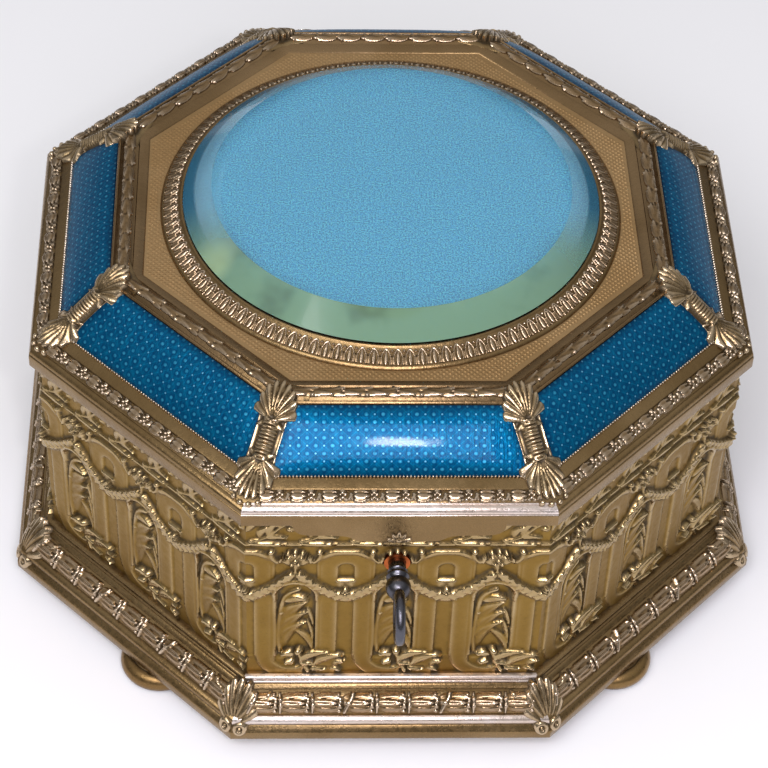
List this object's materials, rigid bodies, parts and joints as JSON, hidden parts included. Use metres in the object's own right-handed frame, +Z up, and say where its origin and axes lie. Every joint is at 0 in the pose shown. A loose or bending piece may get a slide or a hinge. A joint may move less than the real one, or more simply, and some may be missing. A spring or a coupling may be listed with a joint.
{
  "type": "metal box",
  "caption": "Octagonal gilt-bronze casket for papers and keepsakes, with relief walls, a hinged lid of blue enamel plaques round a bevelled glass, and a key in its box lock.",
  "frame": {"origin": "floor level, midway between the key's bow at the front and the plinth's back edge, on the casket's plane of symmetry", "axes": "+Z up, -Y towards the front with the key, +X to the right of a person who faces the front"},
  "size_m": [0.2186, 0.2335, 0.1191],
  "materials": {
    "gilt_bronze": "cast and fire-gilt, matte ground with dark recesses",
    "burnished_gilt": "burnished rosy gilt",
    "enamel": "translucent blue over engine turning",
    "glass": "polished, bevelled",
    "blue_silk": "satin weave",
    "brass": "plain",
    "steel": "blued and worn",
    "copper_bush": "copper-red"
  },
  "bodies": {
    "casket_body": {"corner_clasps": "gilt_bronze", "wall_front": "gilt_bronze", "wall_front_right": "gilt_bronze", "wall_right": "gilt_bronze", "wall_back_right": "gilt_bronze", "wall_back": "gilt_bronze", "wall_back_left": "gilt_bronze", "wall_left": "gilt_bronze", "wall_front_left": "gilt_bronze", "plinth": "burnished_gilt", "foot_front_right": "burnished_gilt", "foot_back_right": "burnished_gilt", "foot_back_left": "burnished_gilt", "foot_front_left": "burnished_gilt", "wall_lining": "blue_silk", "floor_pad": "blue_silk", "floor_plate": "brass", "corner_brackets": "brass", "lock_case": "brass", "lock_cover": "brass", "hinge_body_leaf": "brass", "hinge_pin": "steel", "foot_screws": "steel", "floor_screws": "steel", "corner_screws": "steel", "lock_screws": "steel", "hinge_body_screws": "steel", "keyhole_bush": "copper_bush"},
    "lid": {"lid_rim": "burnished_gilt", "front_lip": "burnished_gilt", "inner_frame": "burnished_gilt", "top_plate": "burnished_gilt", "glass_bezel": "burnished_gilt", "glass_disc": "glass", "silk_board": "blue_silk", "retaining_ring": "brass", "ring_screws": "steel", "lid_lining": "blue_silk", "link_plate": "brass", "link_screws": "steel", "hinge_lid_leaf": "brass", "hinge_lid_screws": "steel", "enamel_front": "enamel", "enamel_front_right": "enamel", "enamel_right": "enamel", "enamel_back_right": "enamel", "enamel_back": "enamel", "enamel_back_left": "enamel", "enamel_left": "enamel", "enamel_front_left": "enamel", "corner_rib_1": "burnished_gilt", "corner_rib_2": "burnished_gilt", "corner_rib_3": "burnished_gilt", "corner_rib_4": "burnished_gilt", "corner_rib_5": "burnished_gilt", "corner_rib_6": "burnished_gilt", "corner_rib_7": "burnished_gilt", "corner_rib_8": "burnished_gilt"},
    "key": {"key": "steel"},
    "bolt": {"lock_bolt": "steel"}
  },
  "joints": [
    {"name": "lid_hinge", "type": "hinge", "parent": "casket_body", "child": "lid", "pos_m": [0, 0.11053, 0.08805], "axis": [-1, 0, 0], "range_deg": [0, 100]},
    {"name": "key_turn", "type": "hinge", "parent": "casket_body", "child": "key", "pos_m": [0, -0.08957, 0.0709], "axis": [0, -1, 0], "range_deg": [0, 90]},
    {"name": "bolt_slide", "type": "slide", "parent": "casket_body", "child": "bolt", "axis": [1, 0, 0], "range_m": [0, 0.005]}
  ],
  "couplings": [
    {"joint": "key_turn", "follows": "bolt_slide", "rad_per_m": 314.16}
  ]
}
